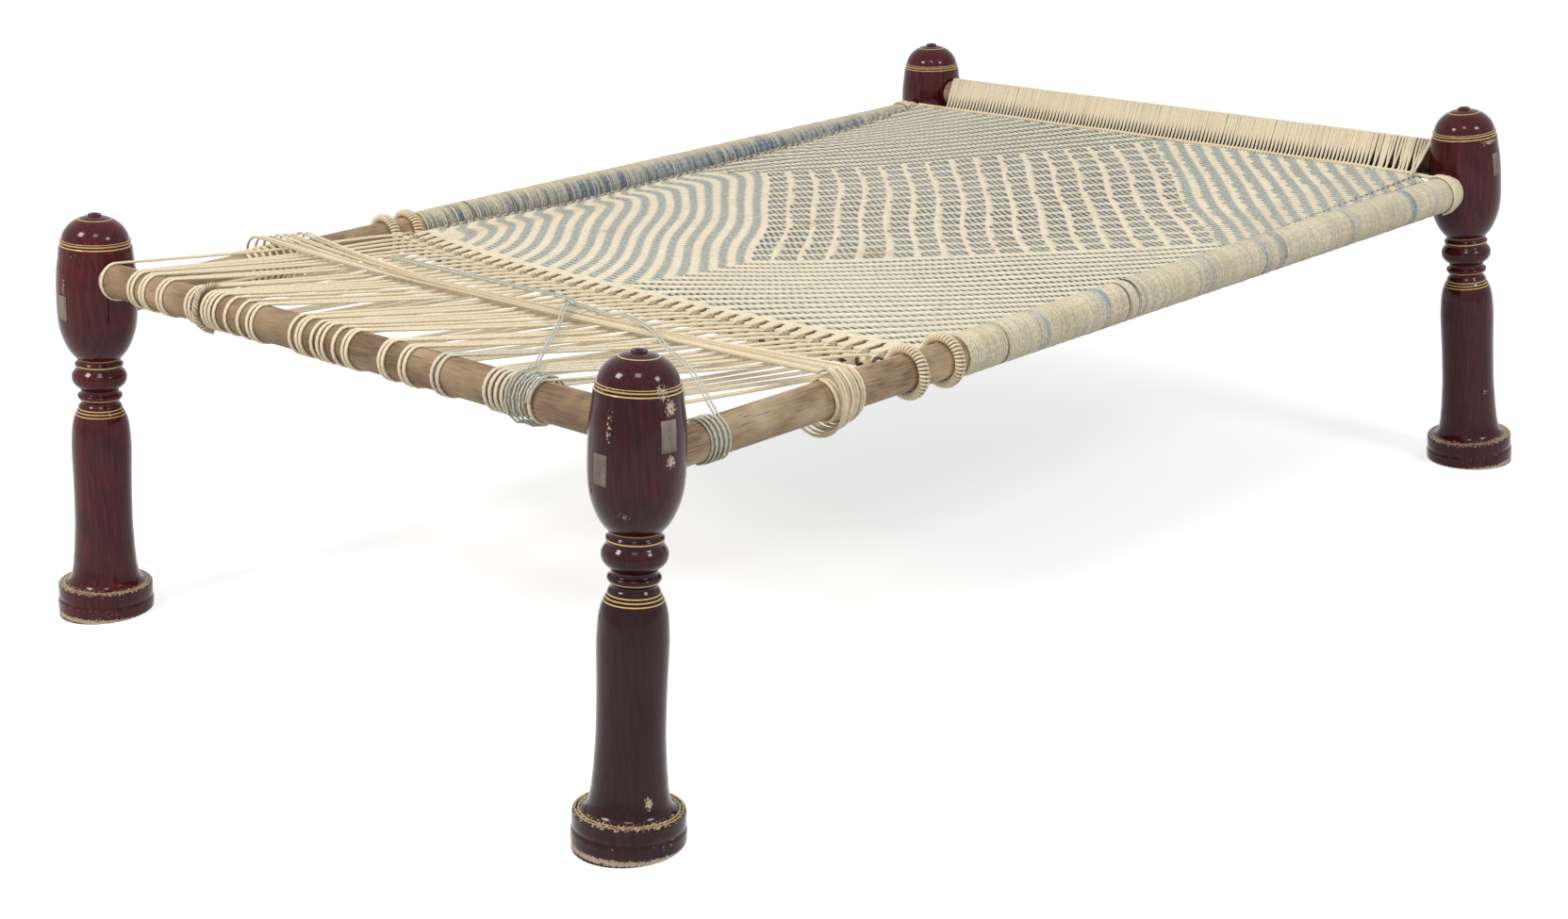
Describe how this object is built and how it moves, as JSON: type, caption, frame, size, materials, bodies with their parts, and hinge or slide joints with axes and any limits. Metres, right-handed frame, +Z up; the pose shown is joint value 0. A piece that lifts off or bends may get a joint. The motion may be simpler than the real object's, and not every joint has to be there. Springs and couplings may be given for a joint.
{
  "type": "woven cord bed",
  "caption": "Low cord bed with turned lacquered legs, round pole rails, a woven cream and blue-grey cord surface and an open lashing tied to the foot rail.",
  "frame": {"origin": "on the floor under the centre of the whole bed's plan outline", "axes": "+X from the foot end, with the open lashing, to the head end; +Y across to the far side; +Z up from the floor"},
  "size_m": [1.97, 1.282, 0.5804],
  "materials": {
    "lacquer": "glossy dark red-brown lacquer with thin cream-yellow turned lines",
    "rail_wood": "bare weathered grey-brown wood",
    "mixed_cord": "woven cream and blue-grey cotton cord",
    "cream_cord": "matt cream cotton cord",
    "blue_cord": "matt blue-grey cotton cord"
  },
  "bodies": {
    "root": {"leg_foot_near": "lacquer", "leg_foot_far": "lacquer", "leg_head_near": "lacquer", "leg_head_far": "lacquer", "side_rail_near": "rail_wood", "side_rail_far": "rail_wood", "foot_rail": "rail_wood", "head_rail": "rail_wood", "side_wrap_near": "mixed_cord", "side_wrap_far": "mixed_cord", "woven_bed": "mixed_cord", "side_border_near": "mixed_cord", "side_border_far": "mixed_cord", "head_wrap": "cream_cord", "foot_border": "cream_cord", "foot_rope": "cream_cord", "ring_border_near": "cream_cord", "ring_border_far": "cream_cord", "ring_rope_near": "cream_cord", "ring_rope_far": "cream_cord", "head_border": "cream_cord", "foot_band": "cream_cord", "lashing": "cream_cord", "band_near": "cream_cord", "band_far": "cream_cord", "cross_hank": "cream_cord", "tie_cord": "blue_cord", "brace_cord": "blue_cord"}
  },
  "joints": []
}
